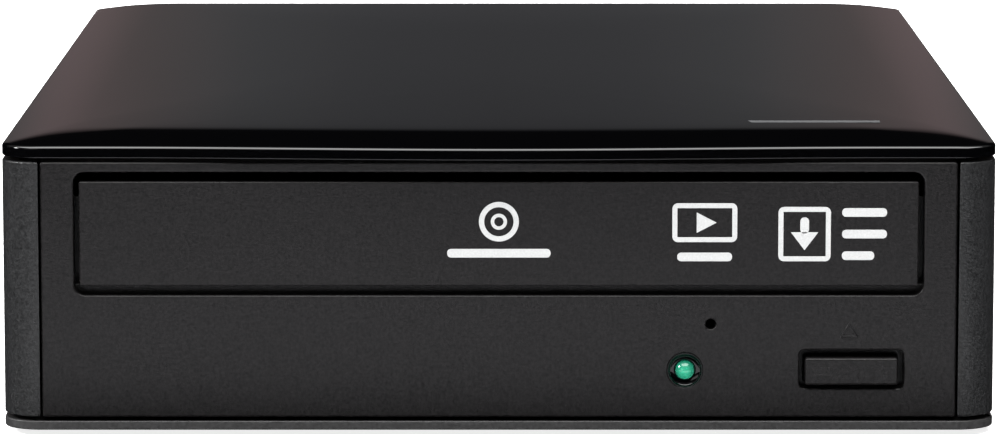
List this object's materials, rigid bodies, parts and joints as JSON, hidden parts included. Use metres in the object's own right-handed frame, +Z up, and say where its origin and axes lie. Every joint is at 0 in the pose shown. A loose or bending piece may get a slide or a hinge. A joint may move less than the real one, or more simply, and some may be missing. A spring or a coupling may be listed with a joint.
{
  "type": "external optical drive",
  "caption": "Desktop external disc drive: half-height tray drive in a low black case with a bowed glossy lid, eject button, status lamp and rear inlets.",
  "frame": {"origin": "middle of the footprint, on the surface that the rubber feet stand on", "axes": "+Z up, -Y towards the front (the tray opens along -Y), +X to the right seen from the front"},
  "size_m": [0.16, 0.22, 0.049],
  "materials": {
    "gloss_black": "piano gloss lid",
    "textured_black": "coarse spark-eroded grain",
    "base_black": "satin, fine grain",
    "bezel_black": "fine grain",
    "rubber_black": "matte",
    "lamp_green": "tinted clear resin",
    "drive_steel": "galvanised sheet",
    "machined_steel": "ground and polished",
    "screw_zinc": "black zinc plating",
    "mechanism_plastic": "satin moulding",
    "gear_plastic": "natural acetal",
    "diecast_zinc": "die cast, matt",
    "board_green": "solder mask",
    "component_black": "moulded epoxy and nylon",
    "lens_glass": "coated"
  },
  "bodies": {
    "root": {"top_cover": "gloss_black", "left_side_panel": "textured_black", "right_side_panel": "textured_black", "rear_panel": "textured_black", "base_plate": "base_black", "base_screw_left_side": "screw_zinc", "base_screw_right_side": "screw_zinc", "base_screw_left_rear": "screw_zinc", "base_screw_right_rear": "screw_zinc", "drive_screw_left_front": "screw_zinc", "drive_screw_right_front": "screw_zinc", "drive_screw_left_rear": "screw_zinc", "drive_screw_right_rear": "screw_zinc", "rubber_foot_left_front": "rubber_black", "rubber_foot_left_rear": "rubber_black", "rubber_foot_right_front": "rubber_black", "rubber_foot_right_rear": "rubber_black", "drive_bezel": "bezel_black", "status_lamp": "lamp_green", "drive_cover": "drive_steel", "drive_bottom_plate": "drive_steel", "loader_frame": "mechanism_plastic", "drive_belt": "rubber_black", "loading_motor": "drive_steel", "clamp_bridge": "drive_steel", "main_board": "board_green", "servo_chip": "component_black", "drive_connector": "component_black", "front_board": "board_green", "eject_switch": "component_black", "bridge_board": "board_green", "bridge_connector": "component_black", "bridge_chip": "component_black", "bridge_capacitor": "component_black", "usb_port": "machined_steel", "dc_jack": "component_black", "power_switch_body": "component_black"},
    "tray": {"disc_tray": "mechanism_plastic", "tray_door": "bezel_black"},
    "button": {"eject_button": "bezel_black"},
    "drive_gear": {"tray_drive_gear": "gear_plastic"},
    "pulley_gear": {"belt_pulley_gear": "gear_plastic"},
    "small_pulley": {"motor_pulley": "gear_plastic"},
    "slider": {"cam_slider": "gear_plastic"},
    "traverse": {"traverse_frame": "mechanism_plastic", "damper_left_front": "rubber_black", "damper_right_front": "rubber_black", "damper_left_rear": "rubber_black", "damper_right_rear": "rubber_black", "mechanism_plate": "drive_steel", "spindle_motor": "machined_steel", "guide_rail_left": "machined_steel", "guide_rail_right": "machined_steel", "sled_motor": "drive_steel"},
    "spindle": {"turntable": "mechanism_plastic"},
    "sled": {"pickup_sled": "diecast_zinc"},
    "lens": {"objective_lens": "lens_glass"},
    "feed_screw": {"lead_screw": "machined_steel"},
    "puck": {"clamp_puck": "mechanism_plastic"},
    "switch_knob": {"power_switch_knob": "bezel_black"}
  },
  "joints": [
    {"name": "tray_slide", "type": "slide", "parent": "root", "child": "tray", "axis": [0, -1, 0], "range_m": [0, 0.138]},
    {"name": "eject_press", "type": "slide", "parent": "root", "child": "button", "axis": [0, 1, 0], "range_m": [0, 0.0008], "stiffness_N_per_m": 1000, "springref_m": -0.0005},
    {"name": "drive_gear_turn", "type": "hinge", "parent": "root", "child": "drive_gear", "pos_m": [-0.042, -0.086, 0.0235], "axis": [0, 0, 1], "continuous": true},
    {"name": "pulley_gear_turn", "type": "hinge", "parent": "root", "child": "pulley_gear", "pos_m": [-0.023, -0.086, 0.0185], "axis": [0, 0, 1], "continuous": true},
    {"name": "small_pulley_turn", "type": "hinge", "parent": "root", "child": "small_pulley", "pos_m": [0.006, -0.086, 0.0163], "axis": [0, 0, 1], "continuous": true},
    {"name": "traverse_tilt", "type": "hinge", "parent": "root", "child": "traverse", "pos_m": [0, 0.05, 0.019], "axis": [1, 0, 0], "range_deg": [0, 5]},
    {"name": "cam_slide", "type": "slide", "parent": "root", "child": "slider", "axis": [1, 0, 0], "range_m": [0, 0.02]},
    {"name": "disc_spin", "type": "hinge", "parent": "traverse", "child": "spindle", "pos_m": [0, -0.032, 0.03], "axis": [0, 0, 1], "continuous": true},
    {"name": "sled_travel", "type": "slide", "parent": "traverse", "child": "sled", "axis": [0, 1, 0], "range_m": [0, 0.035]},
    {"name": "feed_screw_turn", "type": "hinge", "parent": "traverse", "child": "feed_screw", "pos_m": [0.033, 0, 0.0204], "axis": [0, 1, 0], "continuous": true},
    {"name": "lens_focus", "type": "slide", "parent": "sled", "child": "lens", "axis": [0, 0, 1], "range_m": [-0.0003, 0.0006], "stiffness_N_per_m": 60},
    {"name": "puck_spin", "type": "hinge", "parent": "root", "child": "puck", "pos_m": [0, -0.032, 0.04], "axis": [0, 0, 1], "continuous": true},
    {"name": "power_knob_slide", "type": "slide", "parent": "root", "child": "switch_knob", "axis": [1, 0, 0], "range_m": [0, 0.004]}
  ],
  "couplings": [
    {"joint": "drive_gear_turn", "follows": "tray_slide", "rad_per_m": 100},
    {"joint": "pulley_gear_turn", "follows": "tray_slide", "rad_per_m": -280},
    {"joint": "small_pulley_turn", "follows": "tray_slide", "rad_per_m": -1185.3},
    {"joint": "cam_slide", "follows": "traverse_tilt", "m_per_rad": 0.22918},
    {"joint": "feed_screw_turn", "follows": "sled_travel", "rad_per_m": 2094.4}
  ]
}
